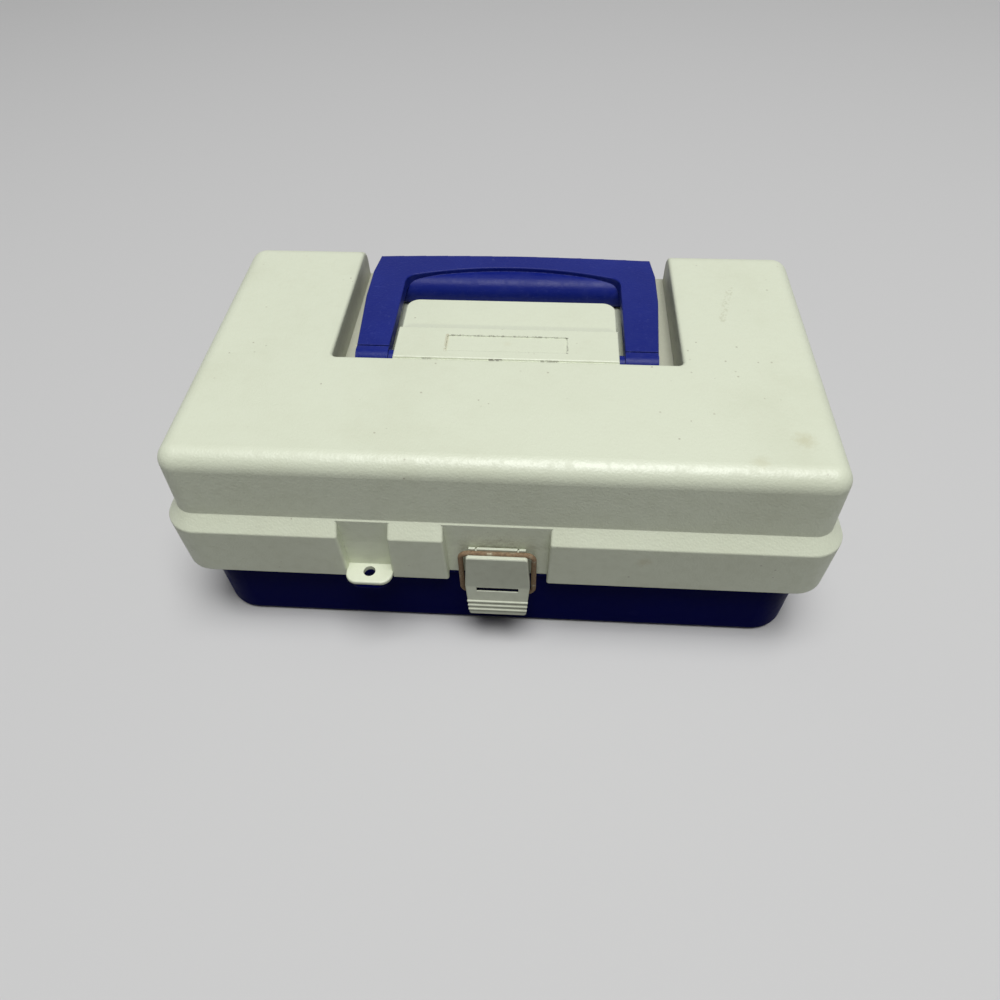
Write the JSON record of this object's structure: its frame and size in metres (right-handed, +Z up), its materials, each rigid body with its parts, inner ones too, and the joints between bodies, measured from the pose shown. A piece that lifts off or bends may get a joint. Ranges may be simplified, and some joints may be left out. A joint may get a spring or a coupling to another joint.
{
  "type": "tackle box",
  "caption": "Small one-tray tackle box with a deep overlapping lid, recessed carrying handle, wire bail latch, padlock tabs and a cantilever tray with loose dividers.",
  "frame": {"origin": "centre of the underside of the base, where the box stands on the floor", "axes": "+X to the right along the length, +Y to the back where the hinges are, +Z up"},
  "size_m": [0.33, 0.2076, 0.1241],
  "materials": {
    "base_plastic": "glossy injection-moulded plastic, dark navy blue",
    "lid_plastic": "fine-grained moulded plastic, cream white, with rubbed-in dirt",
    "handle_plastic": "grained moulded plastic, royal blue",
    "latch_plastic": "moulded plastic, cream white",
    "bail_wire": "bare steel wire with brown rust",
    "pin_steel": "bare steel",
    "tray_plastic": "moulded plastic, cream white",
    "arm_plastic": "moulded plastic, cream white",
    "divider_plastic": "moulded plastic, cream white",
    "rivet_metal": "bare aluminium"
  },
  "bodies": {
    "base": {"base_shell": "base_plastic", "hinge_pin_left": "pin_steel", "hinge_pin_right": "pin_steel", "base_rivet_left": "rivet_metal", "base_rivet_right": "rivet_metal"},
    "lid": {"lid_shell": "lid_plastic"},
    "handle": {"handle": "handle_plastic"},
    "lever": {"latch_lever": "latch_plastic"},
    "bail": {"latch_bail": "bail_wire"},
    "arm_left": {"tray_arm_left": "arm_plastic"},
    "arm_right": {"tray_arm_right": "arm_plastic"},
    "tray": {"tray": "tray_plastic", "tray_divider_1": "divider_plastic", "tray_divider_2": "divider_plastic", "tray_divider_3": "divider_plastic", "tray_divider_4": "divider_plastic", "tray_divider_5": "divider_plastic", "tray_divider_6": "divider_plastic", "arm_rivet_left": "rivet_metal", "arm_rivet_right": "rivet_metal", "lid_rivet_left": "rivet_metal", "lid_rivet_right": "rivet_metal"}
  },
  "joints": [
    {"name": "lid_hinge", "type": "hinge", "parent": "base", "child": "lid", "pos_m": [0, 0.1002, 0.046], "axis": [-1, 0, 0], "range_deg": [0, 100]},
    {"name": "arm_left_pivot", "type": "hinge", "parent": "base", "child": "arm_left", "pos_m": [-0.1526, 0.0162, 0.046], "axis": [-1, 0, 0], "range_deg": [0, 100]},
    {"name": "arm_right_pivot", "type": "hinge", "parent": "base", "child": "arm_right", "pos_m": [0.1526, 0.0162, 0.046], "axis": [-1, 0, 0], "range_deg": [0, 100]},
    {"name": "tray_pivot", "type": "hinge", "parent": "arm_left", "child": "tray", "pos_m": [-0.1526, -0.032, 0.069], "axis": [-1, 0, 0], "range_deg": [-100, 0]},
    {"name": "handle_pivot", "type": "hinge", "parent": "lid", "child": "handle", "pos_m": [0, -0.0069, 0.1169], "axis": [1, 0, 0], "range_deg": [0, 90]},
    {"name": "bail_pivot", "type": "hinge", "parent": "base", "child": "bail", "pos_m": [0, -0.0944, 0.0372], "axis": [1, 0, 0], "range_deg": [0, 30]},
    {"name": "lever_pivot", "type": "hinge", "parent": "bail", "child": "lever", "pos_m": [0, -0.0944, 0.06875], "axis": [-1, 0, 0], "range_deg": [0, 150]}
  ],
  "couplings": [
    {"joint": "arm_left_pivot", "follows": "lid_hinge", "ratio": 1},
    {"joint": "arm_right_pivot", "follows": "lid_hinge", "ratio": 1},
    {"joint": "tray_pivot", "follows": "lid_hinge", "ratio": -1},
    {"joint": "bail_pivot", "follows": "lever_pivot", "ratio": 0.2}
  ]
}
